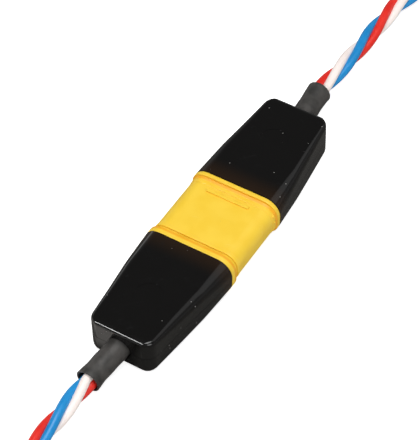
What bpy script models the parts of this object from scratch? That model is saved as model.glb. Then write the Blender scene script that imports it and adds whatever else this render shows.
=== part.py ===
"""Three-pole in-line lead connector: a shrouded half with pins, a plugged-in half with sockets,
a two-piece cover and a shrunk sleeve on each half, and a twisted three-wire lead on each end.

Origin: under the middle of the mated pair, on the surface that it lies on. +X runs along the
leads towards the shrouded half, +Y across the flat housing, +Z up. The plug half draws out
along -X.
"""
from math import cos, pi, radians, sin, sqrt

import bmesh
import bpy
from mathutils import Matrix, Vector

MM = 0.001

# Contact layout, shared by both housings.
contact_pitch = 3.5 * MM
pin_radius = 1.0 * MM
socket_wall = 0.15 * MM
contact_clearance = 0.05 * MM
cup_radius = 1.1 * MM
cup_bore = 0.8 * MM
cup_length = 2.6 * MM

# The nose holds the sockets, and slides into the shroud, which holds the pins.
nose_side_wall = 0.75 * MM
nose_face_wall = 0.33 * MM
nose_clearance = 0.1 * MM
nose_end_gap = 0.4 * MM
key_corner_round = 1.4 * MM
key_corner_square = 0.5 * MM
shroud_wall = 0.7 * MM
shroud_corner = 1.95 * MM
shroud_gap = 0.6 * MM
web_thickness = 0.55 * MM
rim_edge = 0.2 * MM
lead_in = 0.15 * MM
mark_bar_length = 6.3 * MM
mark_bar_width = 0.5 * MM
mark_bar_height = 0.12 * MM
mark_bar_from_flange = 1.35 * MM

# Flanges, as far from the middle of the pair, and the grooved tails behind them.
flange_back = 5.95 * MM
flange_thickness = 1.0 * MM
flange_side_step = 0.2 * MM
flange_face_step = 0.47 * MM
flange_corner_step = 0.25 * MM
flange_edge = 0.14 * MM
tail_length = 1.85 * MM
groove_start = 0.65 * MM
groove_width = 0.6 * MM
groove_depth = 0.35 * MM

# Two-piece covers, flush with the flanges at their mouths.
cover_proud = 0.05 * MM
cover_wall = 0.8 * MM
cover_knee = 5.85 * MM
cover_length = 16.35 * MM
cover_knee_taper = 0.63 * MM
cover_end_taper = 1.95 * MM
cover_mouth_corner = 2.25 * MM
cover_knee_corner = 1.4 * MM
cover_end_corner = 0.75 * MM
cover_plan_corner = 1.9 * MM
cover_gap = 0.1 * MM
parting_gap = 0.04 * MM
snap_gap = 0.05 * MM
peg_radius = 0.45 * MM
peg_clearance = 0.05 * MM
peg_depth = 1.2 * MM
boss_wall = 0.3 * MM
peg_from_end = 2.4 * MM
peg_wall_gap = 1.15 * MM

# Wires, sleeves, insulators and joints.
wire_radius = 0.55 * MM
strand_radius = 0.42 * MM
tip_length = 4.0 * MM
twist_ratio = 14 / 11  # the wires' helix radius over their own radius
piece_gap = 0.05 * MM
insulator_wall = 0.25 * MM
insulator_neck = 1.0 * MM
sleeve_wall = 0.22 * MM
sleeve_clearance = 0.13 * MM
sleeve_tuck = 2.9 * MM
fan_end_gap = 0.3 * MM

# Ties that hold the folded ends of the leads.
tie_run_spacing = 1.6 * MM
tie_clearance = 0.1 * MM
tie_thickness = 0.5 * MM
tie_width = 2.4 * MM
tie_head = (3.2 * MM, 3.0 * MM, 1.5 * MM)
tie_tail_length = 1.4 * MM

corner_steps = 5
turn_steps = 16

# Sizes worked out from the contacts outwards.
socket_bore = pin_radius + contact_clearance
socket_radius = socket_bore + socket_wall
bore_radius = socket_radius + contact_clearance
nose_half_width = contact_pitch + bore_radius + nose_side_wall
nose_half_height = bore_radius + nose_face_wall
cavity_half_width = nose_half_width + nose_clearance
cavity_half_height = nose_half_height + nose_clearance
shroud_half_width = cavity_half_width + shroud_wall
shroud_half_height = cavity_half_height + shroud_wall
flange_half_width = shroud_half_width + flange_side_step
flange_half_height = shroud_half_height + flange_face_step
flange_corner = shroud_corner + flange_corner_step
cover_half_height = flange_half_height + cover_proud
cover_knee_half_width = flange_half_width - cover_knee_taper
cover_end_half_width = flange_half_width - cover_end_taper
tail_half_width = flange_half_width - cover_wall - cover_gap
tail_half_height = cover_half_height - cover_wall - cover_gap
tail_corner = cover_mouth_corner - cover_wall - cover_gap
mid_height = cover_half_height

# Places along X, for the shrouded half. The plug half mirrors those behind its flange.
flange_front = flange_back - flange_thickness
shroud_rim = -flange_front + shroud_gap
cavity_floor = flange_front - web_thickness
nose_tip = cavity_floor - nose_end_gap
tail_end = flange_back + tail_length
cup_end = tail_end + cup_length
cover_end = flange_back + cover_length
wire_helix_radius = wire_radius * twist_ratio
insulator_bore = cup_radius + piece_gap
insulator_radius = insulator_bore + insulator_wall
sleeve_bore = wire_helix_radius + wire_radius + piece_gap
sleeve_start = cover_end - sleeve_tuck
lead_rest_height = wire_helix_radius + wire_radius
tie_height = lead_rest_height + tie_clearance + tie_thickness + piece_gap

# The wire colour at each pole, from +Y to -Y.
poles = (("blue", contact_pitch), ("white", 0.0), ("red", -contact_pitch))

# Each lead's middle line beyond its cover: distance from the outlet, y and height over the
# surface that the object lies on, in millimetres.
mid_z = mid_height / MM
tie_y = tie_run_spacing / MM
tie_z = tie_height / MM
rest_z = lead_rest_height / MM + 0.02
shroud_lead_route = [
    (0.0, 0.04, mid_z), (3.2, 0.31, mid_z), (6.2, 0.5, 2.88), (9.2, 0.38, 2.82), (12.2, 0.2, 2.73),
    (16.2, 0.06, 2.57), (20.2, 0.0, 2.38), (24.2, -0.02, 2.17), (28.0, -0.15, 1.98),
    (31.4, -0.95, tie_z), (34.7, -tie_y, tie_z), (37.7, -tie_y, tie_z), (40.7, -tie_y, tie_z),
    (45.2, -2.4, 1.35), (49.7, -3.8, rest_z), (54.2, -4.9, rest_z), (58.5, -4.2, rest_z),
    (61.3, -2.4, rest_z), (62.3, 0.0, rest_z), (61.3, 2.4, rest_z), (58.5, 4.2, rest_z),
    (54.2, 4.9, rest_z), (49.7, 3.8, rest_z), (45.2, 2.4, 1.35), (40.7, tie_y, tie_z),
    (37.7, tie_y, tie_z), (34.7, tie_y, tie_z),
]
nose_lead_route = [
    (0.0, 0.06, mid_z), (3.2, 0.3, mid_z), (6.2, 0.5, 2.86), (10.7, 0.68, 2.62), (15.7, 0.95, 2.27),
    (20.7, 1.3, 1.98), (25.7, tie_y, tie_z), (28.7, tie_y, tie_z), (31.7, tie_y, tie_z),
    (36.7, 2.4, 1.35), (42.2, 3.8, rest_z), (47.2, 4.9, rest_z), (51.5, 4.2, rest_z),
    (54.3, 2.4, rest_z), (55.3, 0.0, rest_z), (54.3, -2.4, rest_z), (51.5, -4.2, rest_z),
    (47.2, -4.9, rest_z), (42.2, -3.8, rest_z), (36.7, -2.4, 1.35), (31.7, -tie_y, tie_z),
    (28.7, -tie_y, tie_z), (24.7, -tie_y, tie_z),
]

# How each half differs: its direction along X, its route, its sleeve's length and looseness
# beyond the outlet, where its tie is and the twist of its lead begins, one turn's length, and the
# angle of each wire round the lead before that.
halves = {
    "shroud": {
        "side": 1, "route": shroud_lead_route, "sleeve_out": 6.4 * MM, "sleeve_slack": 0.1 * MM,
        "tie_out": 37.7 * MM, "twist_out": 3.2 * MM, "twist_pitch": 16.5 * MM, "turn_points": 9,
        "angles": {"blue": 30.0, "red": 150.0, "white": 270.0},
    },
    "nose": {
        "side": -1, "route": nose_lead_route, "sleeve_out": 6.2 * MM, "sleeve_slack": 0.0,
        "tie_out": 28.7 * MM, "twist_out": 6.9 * MM, "twist_pitch": 11.7 * MM, "turn_points": 8,
        "angles": {"white": 90.0, "red": 210.0, "blue": 330.0},
    },
}


# Scene, collections and materials.

for old in list(bpy.data.objects):
    bpy.data.objects.remove(old, do_unlink=True)

parts = bpy.data.collections.new("three_pole_lead_connector")
cutters = bpy.data.collections.new("cutters")
for group in (parts, cutters):
    bpy.context.scene.collection.children.link(group)


def material(name, colour, roughness, metallic=0.0):
    made = bpy.data.materials.new(name)
    made.use_nodes = True
    shader = made.node_tree.nodes["Principled BSDF"]
    shader.inputs["Base Color"].default_value = (*colour, 1.0)
    shader.inputs["Roughness"].default_value = roughness
    shader.inputs["Metallic"].default_value = metallic
    return made


housing_nylon = material("housing_nylon", (0.93, 0.62, 0.06), 0.38)
cover_plastic = material("cover_plastic", (0.008, 0.007, 0.006), 0.12)
sleeve_film = material("sleeve_film", (0.045, 0.042, 0.04), 0.5)
insulator_film = material("insulator_film", (0.01, 0.01, 0.01), 0.45)
gold_plate = material("gold_plate", (0.9, 0.66, 0.25), 0.22, 1.0)
solder_metal = material("solder_metal", (0.62, 0.62, 0.6), 0.35, 1.0)
tie_nylon = material("tie_nylon", (0.015, 0.015, 0.015), 0.4)
wire_skins = {
    "red": material("wire_red", (0.78, 0.035, 0.02), 0.42),
    "white": material("wire_white", (0.93, 0.88, 0.84), 0.42),
    "blue": material("wire_blue", (0.015, 0.26, 0.62), 0.42),
}


# Helpers.

def add_mesh(name, mesh, skin, group=parts):
    thing = bpy.data.objects.new(name, mesh)
    group.objects.link(thing)
    if skin is not None:
        mesh.materials.append(skin)
    return thing


def as_cutter(thing):
    thing.hide_render = True
    thing.display_type = "WIRE"
    return thing


def section(x, half_width, half_height, corner, far_corner=None, height=None):
    """One rounded rectangle across the connector; far_corner rounds its -Y side."""
    far_corner = corner if far_corner is None else far_corner
    height = mid_height if height is None else height
    ring = []
    for quadrant, (to_y, to_z) in enumerate(((1, 1), (-1, 1), (-1, -1), (1, -1))):
        radius = corner if to_y > 0 else far_corner
        for step in range(corner_steps + 1):
            angle = (quadrant + step / corner_steps) * pi / 2
            y = to_y * (half_width - radius) + radius * cos(angle)
            z = to_z * (half_height - radius) + radius * sin(angle)
            ring.append(Vector((x, y, height + z)))
    return ring


def loft(name, rings, skin=None, group=parts):
    """A closed solid through sections that share a count of points."""
    shape = bmesh.new()
    loops = [[shape.verts.new(point) for point in ring] for ring in rings]
    for low, high in zip(loops, loops[1:]):
        for index in range(len(low)):
            after = (index + 1) % len(low)
            shape.faces.new((low[index], low[after], high[after], high[index]))
    shape.faces.new(loops[0])
    shape.faces.new(loops[-1])
    bmesh.ops.recalc_face_normals(shape, faces=shape.faces)
    mesh = bpy.data.meshes.new(name)
    shape.to_mesh(mesh)
    shape.free()
    return add_mesh(name, mesh, skin, group)


def turned(name, outline, centre, skin=None, group=parts, closed=False):
    """A profile of (distance along X, radius) spun round a line along X at centre (y, z)."""
    mesh = bpy.data.meshes.new(name)
    count = len(outline)
    edges = [(index, index + 1) for index in range(count - 1)]
    if closed:
        edges.append((count - 1, 0))
    mesh.from_pydata([(radius, 0.0, along) for along, radius in outline], edges, [])
    thing = add_mesh(name, mesh, skin, group)
    screw = thing.modifiers.new("spin", "SCREW")
    screw.steps = turn_steps
    screw.render_steps = turn_steps
    screw.use_merge_vertices = True
    screw.merge_threshold = 0.00001
    screw.use_smooth_shade = False
    thing.rotation_euler = (0.0, pi / 2, 0.0)
    thing.location = (0.0, centre[0], centre[1])
    return thing


def block(name, low, high, skin=None, group=cutters):
    shape = bmesh.new()
    bmesh.ops.create_cube(shape, size=1.0)
    for vertex in shape.verts:
        for axis in range(3):
            middle = (low[axis] + high[axis]) / 2
            vertex.co[axis] = middle + vertex.co[axis] * (high[axis] - low[axis])
    mesh = bpy.data.meshes.new(name)
    shape.to_mesh(mesh)
    shape.free()
    return add_mesh(name, mesh, skin, group)


def post(name, x, y, low, high, radius):
    """An upright cylinder used as a cutter or as a piece to join."""
    shape = bmesh.new()
    bmesh.ops.create_cone(
        shape, cap_ends=True, segments=turn_steps, radius1=radius, radius2=radius,
        depth=high - low, matrix=Matrix.Translation((x, y, (low + high) / 2)))
    mesh = bpy.data.meshes.new(name)
    shape.to_mesh(mesh)
    shape.free()
    return as_cutter(add_mesh(name, mesh, None, cutters))


def combine(thing, other, operation):
    step = thing.modifiers.new(other.name, "BOOLEAN")
    step.operation = operation
    step.solver = "EXACT"
    step.object = as_cutter(other)


def tube(name, points, radius, skin=None, group=parts, resolution=2):
    """A round bar along points, as a mesh with welded caps."""
    curve = bpy.data.curves.new(name, "CURVE")
    curve.dimensions = "3D"
    curve.bevel_depth = radius
    curve.bevel_resolution = resolution
    curve.use_fill_caps = True
    line = curve.splines.new("POLY")
    line.points.add(len(points) - 1)
    for target, point in zip(line.points, points):
        target.co = (*point, 1.0)
    source = bpy.data.objects.new(name + "_line", curve)
    group.objects.link(source)
    bpy.context.view_layer.update()
    evaluated = source.evaluated_get(bpy.context.evaluated_depsgraph_get())
    mesh = bpy.data.meshes.new_from_object(evaluated)
    shape = bmesh.new()
    shape.from_mesh(mesh)
    bmesh.ops.remove_doubles(shape, verts=shape.verts, dist=0.000001)
    bmesh.ops.recalc_face_normals(shape, faces=shape.faces)
    shape.to_mesh(mesh)
    shape.free()
    mesh.name = name
    mesh.materials.clear()
    bpy.data.objects.remove(source, do_unlink=True)
    return add_mesh(name, mesh, skin, group)


# Housings.

def tail_rings(side):
    """The body behind a flange, with the groove that the covers snap into."""
    full = (tail_half_width, tail_half_height, tail_corner)
    cut = tuple(size - groove_depth for size in full)
    groove = flange_back + groove_start
    stations = (
        (flange_back, full), (groove, full), (groove, cut),
        (groove + groove_width, cut), (groove + groove_width, full), (tail_end, full))
    return [section(side * x, *sizes) for x, sizes in stations]


def flange_rings(side):
    eased = (flange_half_width - flange_edge, flange_half_height - flange_edge,
             flange_corner - flange_edge)
    full = (flange_half_width, flange_half_height, flange_corner)
    stations = ((flange_front, eased), (flange_front + flange_edge, full), (flange_back, full))
    return [section(side * x, *sizes) for x, sizes in stations]


def contact_bore(name, y, start, end):
    outline = ((end, 0.0), (end, bore_radius), (start, bore_radius), (start, 0.0))
    return turned(name, outline, (y, mid_height), group=cutters)


def make_shroud_housing():
    eased = (shroud_half_width - rim_edge, shroud_half_height - rim_edge, shroud_corner - rim_edge)
    full = (shroud_half_width, shroud_half_height, shroud_corner)
    rings = [section(shroud_rim, *eased), section(shroud_rim + rim_edge, *full),
             section(flange_front, *full)]
    rings += flange_rings(1) + tail_rings(1)
    housing = loft("shroud_housing", rings, housing_nylon)
    wide = (cavity_half_width + lead_in, cavity_half_height + lead_in)
    corners = (key_corner_round + nose_clearance, key_corner_square + nose_clearance)
    cavity = loft("shroud_cavity", [
        section(shroud_rim - 1.0 * MM, *wide, *corners),
        section(shroud_rim, *wide, *corners),
        section(shroud_rim + lead_in, cavity_half_width, cavity_half_height, *corners),
        section(cavity_floor, cavity_half_width, cavity_half_height, *corners),
    ], group=cutters)
    combine(housing, cavity, "DIFFERENCE")
    bar_x = flange_front - mark_bar_from_flange
    roof = mid_height + shroud_half_height
    bar = block(
        "mark_bar", (bar_x - mark_bar_width / 2, -mark_bar_length / 2, roof - mark_bar_height),
        (bar_x + mark_bar_width / 2, mark_bar_length / 2, roof + mark_bar_height))
    combine(housing, bar, "UNION")
    for colour, y in poles:
        bore = contact_bore(f"shroud_bore_{colour}", y, cavity_floor - 0.5 * MM, tail_end + 0.5 * MM)
        combine(housing, bore, "DIFFERENCE")
    return housing


def make_nose_housing():
    corners = (key_corner_round, key_corner_square)
    eased = (nose_half_width - rim_edge, nose_half_height - rim_edge,
             corners[0] - rim_edge, corners[1] - rim_edge)
    full = (nose_half_width, nose_half_height, *corners)
    rings = [section(nose_tip, *eased), section(nose_tip - rim_edge, *full),
             section(-flange_front, *full)]
    rings += flange_rings(-1) + tail_rings(-1)
    housing = loft("nose_housing", rings, housing_nylon)
    for colour, y in poles:
        bore = contact_bore(f"nose_bore_{colour}", y, -tail_end - 0.5 * MM, nose_tip + 0.5 * MM)
        combine(housing, bore, "DIFFERENCE")
    return housing


# Contacts, solder joints and their insulators.

pin_tip = -2.8 * MM
pin_nose = 0.45 * MM
pin_slot_width = 0.22 * MM
pin_slot_end = 1.5 * MM
socket_mouth = nose_tip - 0.4 * MM
socket_floor = pin_tip - 0.6 * MM
socket_slot_width = 0.25 * MM
socket_slot_end = -0.5 * MM
cup_floor = tail_end + 0.5 * MM
shank_end = tail_end - piece_gap


def make_pin(colour, y):
    outline = (
        (cup_floor, 0.0), (cup_floor, cup_bore), (cup_end, cup_bore), (cup_end, cup_radius),
        (shank_end, cup_radius), (shank_end, socket_radius), (cavity_floor + piece_gap, socket_radius),
        (cavity_floor + piece_gap, pin_radius), (pin_tip + pin_nose, pin_radius),
        (pin_tip + pin_nose / 3, pin_radius * 0.8), (pin_tip, pin_radius * 0.45), (pin_tip, 0.0))
    pin = turned(f"shroud_pin_{colour}", outline, (y, mid_height), gold_plate)
    reach = pin_radius * 1.4
    half = pin_slot_width / 2
    start = pin_tip - 0.5 * MM
    across = block(f"pin_slot_a_{colour}", (start, y - reach, mid_height - half),
                   (pin_slot_end, y + reach, mid_height + half))
    upright = block(f"pin_slot_b_{colour}", (start, y - half, mid_height - reach),
                    (pin_slot_end, y + half, mid_height + reach))
    combine(pin, across, "DIFFERENCE")
    combine(pin, upright, "DIFFERENCE")


def make_socket(colour, y):
    outline = (
        (socket_floor, 0.0), (socket_floor, socket_bore), (socket_mouth, socket_bore),
        (socket_mouth, socket_radius), (-shank_end, socket_radius), (-shank_end, cup_radius),
        (-cup_end, cup_radius), (-cup_end, cup_bore), (-cup_floor, cup_bore), (-cup_floor, 0.0))
    socket = turned(f"nose_socket_{colour}", outline, (y, mid_height), gold_plate)
    half = socket_slot_width / 2
    reach = socket_radius * 1.4
    slot = block(f"socket_slot_{colour}", (socket_slot_end, y - half, mid_height - reach),
                 (socket_mouth + 0.5 * MM, y + half, mid_height + reach))
    combine(socket, slot, "DIFFERENCE")


def along(side, outline):
    """Turns an outline for the shrouded half into one for the half on this side."""
    return [(side * x, radius) for x, radius in (outline if side > 0 else outline[::-1])]


wire_start = cup_end + 0.35 * MM
insulator_start = tail_end + 2 * piece_gap
insulator_end = wire_start + 1.65 * MM


def make_joint(half, side, colour, y):
    """The solder in the cup and the bare strands that it holds."""
    fill = cup_bore - piece_gap
    outline = [
        (wire_start - piece_gap, 0.0), (wire_start - piece_gap, strand_radius),
        (cup_end + 0.15 * MM, strand_radius), (cup_end - piece_gap, fill),
        (cup_floor + piece_gap, fill), (cup_floor + piece_gap, 0.0)]
    turned(f"{half}_solder_{colour}", along(side, outline), (y, mid_height), solder_metal)


def make_insulator(half, side, colour, y):
    """A shrunk tube over the cup that necks down onto the wire."""
    neck_bore = wire_radius + piece_gap
    shoulder = wire_start
    outline = [
        (insulator_end, neck_bore), (insulator_end, neck_bore + insulator_wall),
        (shoulder + insulator_neck * 0.5, neck_bore + insulator_wall),
        (shoulder - piece_gap, insulator_radius), (insulator_start, insulator_radius),
        (insulator_start, insulator_bore), (shoulder - insulator_wall, insulator_bore),
        (shoulder + insulator_neck * 0.4, neck_bore)]
    turned(f"{half}_insulator_{colour}", along(side, outline), (y, mid_height), insulator_film,
           closed=True)


# Covers.

def cover_sizes(x, wall):
    """Half width, half height and corner of a cover's skin, moved in by wall, at distance x."""
    knee = flange_back + cover_knee
    if x <= knee:
        share = (x - flange_back) / cover_knee
        width = flange_half_width + (cover_knee_half_width - flange_half_width) * share
        corner = cover_mouth_corner + (cover_knee_corner - cover_mouth_corner) * share
    else:
        share = (x - knee) / (cover_end - knee)
        width = cover_knee_half_width + (cover_end_half_width - cover_knee_half_width) * share
        corner = cover_knee_corner + (cover_end_corner - cover_knee_corner) * share
    return width - wall, cover_half_height - wall, max(corner - wall, 0.3 * MM)


def rounded_end(end, wall):
    """Sections that round a cover's end off, in plan and over its edges."""
    plan = cover_plan_corner - wall if cover_plan_corner > wall else 0.3 * MM
    edge = max(cover_end_corner - wall, 0.2 * MM)
    rings = []
    for angle in (0, 25, 45, 62, 75, 84, 90):
        x = end - plan * (1 - sin(radians(angle)))
        width, height, corner = cover_sizes(x, wall)
        width -= plan * (1 - cos(radians(angle)))
        into_edge = max(x - (end - edge), 0.0)
        drop = edge - sqrt(max(edge * edge - into_edge * into_edge, 0.0))
        height -= drop
        corner = max(corner - drop, 0.05 * MM)
        rings.append((x, width, height, corner))
    return rings


def cover_rings(side):
    knee = flange_back + cover_knee
    cover_start = flange_back + piece_gap
    stations = [(cover_start, *cover_sizes(cover_start, 0.0)), (knee, *cover_sizes(knee, 0.0))]
    return [section(side * x, *sizes) for x, *sizes in stations + rounded_end(cover_end, 0.0)]


def cover_cavity_rings(side):
    knee = flange_back + cover_knee
    rib_start = flange_back + groove_start + snap_gap
    rib_end = flange_back + groove_start + groove_width - snap_gap
    inside = (tail_half_width + cover_gap, tail_half_height + cover_gap, tail_corner + cover_gap)
    rib = tuple(size - groove_depth + snap_gap for size in inside)
    stations = [
        (flange_back - 1.0 * MM, *inside), (rib_start, *inside), (rib_start, *rib),
        (rib_end, *rib), (rib_end, *inside), (tail_end, *inside), (knee, *cover_sizes(knee, cover_wall))]
    stations += rounded_end(cover_end - cover_wall, cover_wall)
    return [section(side * x, *sizes) for x, *sizes in stations]


def make_covers(half, side, sleeve_slack):
    peg_x = side * (cover_end - peg_from_end)
    peg_y = cover_sizes(cover_end - peg_from_end, cover_wall)[0] - peg_wall_gap
    roof = mid_height + cover_half_height - cover_wall / 2
    floor = mid_height - cover_half_height + cover_wall / 2
    far = 30 * MM
    for name, to_z in (("upper", 1), ("lower", -1)):
        cover = loft(f"{half}_{name}_cover", cover_rings(side), cover_plastic)
        cavity = loft(f"{half}_{name}_cavity", cover_cavity_rings(side), group=cutters)
        combine(cover, cavity, "DIFFERENCE")
        hole_radius = sleeve_bore + sleeve_slack + sleeve_wall + sleeve_clearance
        outline = along(side, [
            (cover_end + MM, 0.0), (cover_end + MM, hole_radius),
            (cover_end - 2 * MM, hole_radius), (cover_end - 2 * MM, 0.0)])
        outlet = turned(f"{half}_{name}_outlet", outline, (0.0, mid_height), group=cutters)
        combine(cover, outlet, "DIFFERENCE")
        cut = mid_height + to_z * parting_gap / 2
        if to_z > 0:
            other_half = block(f"{half}_{name}_split", (-far, -far, -far), (far, far, cut))
        else:
            other_half = block(f"{half}_{name}_split", (-far, -far, cut), (far, far, far))
        combine(cover, other_half, "DIFFERENCE")
        for place, y in (("left", peg_y), ("right", -peg_y)):
            label = f"{half}_{name}_{place}"
            if to_z > 0:
                combine(cover, post(label + "_peg", peg_x, y, mid_height - peg_depth, roof, peg_radius),
                        "UNION")
            else:
                bore = peg_radius + peg_clearance
                combine(cover, post(label + "_boss", peg_x, y, floor, cut, bore + boss_wall), "UNION")
                combine(cover, post(label + "_bore", peg_x, y, mid_height - peg_depth - peg_clearance,
                                    mid_height + MM, bore), "DIFFERENCE")


# Leads.

def lead_knots(side, route):
    """A lead's points from its cup out to its free end."""
    inside = [wire_start, insulator_end + MM, sleeve_start]
    knots = [Vector((side * x, 0.0, mid_height)) for x in inside]
    for out, y, z in route:
        knots.append(Vector((side * (cover_end + out * MM), y * MM, z * MM)))
    return knots


def smooth_line(knots):
    """Points close together on a centripetal curve through the knots, with distances along it."""
    knots = [2 * knots[0] - knots[1]] + knots + [2 * knots[-1] - knots[-2]]
    line = []
    for index in range(1, len(knots) - 2):
        p0, p1, p2, p3 = knots[index - 1:index + 3]
        t0 = 0.0
        t1 = t0 + sqrt((p1 - p0).length)
        t2 = t1 + sqrt((p2 - p1).length)
        t3 = t2 + sqrt((p3 - p2).length)
        for step in range(24):
            t = t1 + (t2 - t1) * step / 24
            a1 = p0 * ((t1 - t) / (t1 - t0)) + p1 * ((t - t0) / (t1 - t0))
            a2 = p1 * ((t2 - t) / (t2 - t1)) + p2 * ((t - t1) / (t2 - t1))
            a3 = p2 * ((t3 - t) / (t3 - t2)) + p3 * ((t - t2) / (t3 - t2))
            b1 = a1 * ((t2 - t) / (t2 - t0)) + a2 * ((t - t0) / (t2 - t0))
            b2 = a2 * ((t3 - t) / (t3 - t1)) + a3 * ((t - t1) / (t3 - t1))
            line.append(b1 * ((t2 - t) / (t2 - t1)) + b2 * ((t - t1) / (t2 - t1)))
    line.append(knots[-2])
    distances = [0.0]
    for before, after in zip(line, line[1:]):
        distances.append(distances[-1] + (after - before).length)
    return line, distances


def place_on(line, distances, distance):
    """The point and direction at a distance along a line, past its ends too."""
    index = 0
    while index < len(line) - 2 and distances[index + 1] < distance:
        index += 1
    direction = (line[index + 1] - line[index]).normalized()
    return line[index] + direction * (distance - distances[index]), direction


def distance_to(line, distances, x):
    """The distance at which a line first passes x."""
    for index, point in enumerate(line):
        if abs(point.x) >= abs(x):
            return distances[index]
    return distances[-1]


def make_lead(half, settings):
    side = settings["side"]
    line, distances = smooth_line(lead_knots(side, settings["route"]))
    end = distances[-1]
    fan_start = distance_to(line, distances, insulator_end + piece_gap)
    fan_end = distance_to(line, distances, sleeve_start - fan_end_gap)
    twist_start = distance_to(line, distances, cover_end + settings["twist_out"])
    step = settings["twist_pitch"] / settings["turn_points"]
    stops = [0.0]
    for low, high in ((fan_start, fan_end), (fan_end, twist_start), (twist_start, end)):
        count = max(round((high - low) / step), 1)
        stops += [low + (high - low) * index / count for index in range(count)]
    stops.append(end)
    for colour, pole_y in poles:
        points = []
        for stop in stops:
            centre, direction = place_on(line, distances, stop)
            across = (Vector((0, 0, 1)).cross(direction) * side).normalized()
            upward = direction.cross(across) * side
            turn = max(stop - twist_start, 0.0) / settings["twist_pitch"]
            angle = radians(settings["angles"][colour]) - side * 2 * pi * turn
            share = min(max((stop - fan_start) / (fan_end - fan_start), 0.0), 1.0)
            share = share * share * (3 - 2 * share)
            to_side = pole_y * (1 - share) + wire_helix_radius * cos(angle) * share
            to_top = wire_helix_radius * sin(angle) * share
            points.append(centre + across * to_side + upward * to_top)
        tube(f"{half}_wire_{colour}", points, wire_radius, wire_skins[colour])
        base = points[-1] + direction * piece_gap
        tube(f"{half}_tip_{colour}", [base, base + direction * tip_length], strand_radius, solder_metal)
    make_sleeve(half, settings, line, distances)


def make_sleeve(half, settings, line, distances):
    start = distance_to(line, distances, sleeve_start)
    end = distance_to(line, distances, cover_end + settings["sleeve_out"])
    stops = [start + (end - start) * index / 7 for index in range(8)]
    points = [place_on(line, distances, stop)[0] for stop in stops]
    bore_size = sleeve_bore + settings["sleeve_slack"]
    sleeve = tube(f"{half}_sleeve", points, bore_size + sleeve_wall, sleeve_film, resolution=6)
    run_out = [place_on(line, distances, start - MM)[0]] + points
    run_out.append(place_on(line, distances, end + MM)[0])
    bore = tube(f"{half}_sleeve_bore", run_out, bore_size, group=cutters, resolution=6)
    combine(sleeve, bore, "DIFFERENCE")


def make_tie(half, settings):
    """A strap round the two runs of a folded lead, with its locking head and cut tail."""
    x = settings["side"] * (cover_end + settings["tie_out"])
    inner = (tie_run_spacing + lead_rest_height + tie_clearance, lead_rest_height + tie_clearance)
    outer = tuple(size + tie_thickness for size in inner)
    ends = (x - tie_width / 2, x + tie_width / 2)
    strap = loft(f"{half}_lead_tie", [section(end, *outer, outer[1] * 0.98, height=tie_height)
                                      for end in ends], tie_nylon)
    top = tie_height + outer[1]
    head = block(f"{half}_tie_head", (x - tie_head[0] / 2, -tie_head[1] / 2, top - tie_thickness * 0.9),
                 (x + tie_head[0] / 2, tie_head[1] / 2, top - tie_thickness + tie_head[2]))
    combine(strap, head, "UNION")
    level = top + tie_head[2] / 2 - tie_thickness
    tail = block(f"{half}_tie_tail", (x - tie_width / 2, tie_head[1] / 2 - 0.3 * MM, level),
                 (x + tie_width / 2, tie_head[1] / 2 + tie_tail_length, level + tie_thickness))
    combine(strap, tail, "UNION")
    hole = loft(f"{half}_tie_hole", [
        section(end, *inner, inner[1] * 0.98, height=tie_height)
        for end in (x - tie_width, x + tie_width)], group=cutters)
    combine(strap, hole, "DIFFERENCE")


# The whole object.

make_shroud_housing()
make_nose_housing()
for pole_colour, pole in poles:
    make_pin(pole_colour, pole)
    make_socket(pole_colour, pole)
for half_name, half_settings in halves.items():
    for pole_colour, pole in poles:
        make_joint(half_name, half_settings["side"], pole_colour, pole)
        make_insulator(half_name, half_settings["side"], pole_colour, pole)
    make_covers(half_name, half_settings["side"], half_settings["sleeve_slack"])
    make_lead(half_name, half_settings)
    make_tie(half_name, half_settings)

for thing in parts.objects:
    thing.data.shade_smooth()
    thing.data.set_sharp_from_angle(angle=radians(35))
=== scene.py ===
# %% [markdown]
# # An in-line connector for a three-wire lead
#
# Two yellow housings plug into each other: one has a shroud with three pins, the other a nose with
# three sockets. Each half has a glossy black clamshell cover, a shrunk sleeve and a twisted lead.
# The solids from the CAD model are the frame. Each piece that shows is modelled again here with
# finer edges, in the same place, and gets a procedural finish.

# %% Load the frame
from math import cos, pi, radians, sin, sqrt

import bmesh
import bpy
from mathutils import Matrix, Vector


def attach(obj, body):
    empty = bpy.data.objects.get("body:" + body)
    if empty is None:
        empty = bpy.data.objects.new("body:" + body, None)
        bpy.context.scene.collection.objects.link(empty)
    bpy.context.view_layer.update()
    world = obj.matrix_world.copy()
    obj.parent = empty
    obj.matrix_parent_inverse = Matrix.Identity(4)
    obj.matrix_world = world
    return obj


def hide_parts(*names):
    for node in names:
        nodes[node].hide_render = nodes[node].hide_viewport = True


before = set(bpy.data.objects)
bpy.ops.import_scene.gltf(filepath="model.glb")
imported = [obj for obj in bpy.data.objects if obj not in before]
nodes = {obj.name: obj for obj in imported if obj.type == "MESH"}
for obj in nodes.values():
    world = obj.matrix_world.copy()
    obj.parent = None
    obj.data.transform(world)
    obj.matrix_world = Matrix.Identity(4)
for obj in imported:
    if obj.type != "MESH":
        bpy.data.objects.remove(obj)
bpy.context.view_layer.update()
MM = 0.001
mid_height = 2.9
middle = Vector((0.0, 0.0, mid_height * MM))

# %% [markdown]
# The camera looks down on the cover of the plug half, a little from its side. Its direction is
# written as three angles: how far round, how high and how much it leans. The lens is long, because
# a small product is usually taken from far back with a long lens, so the far end hardly shrinks.

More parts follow.
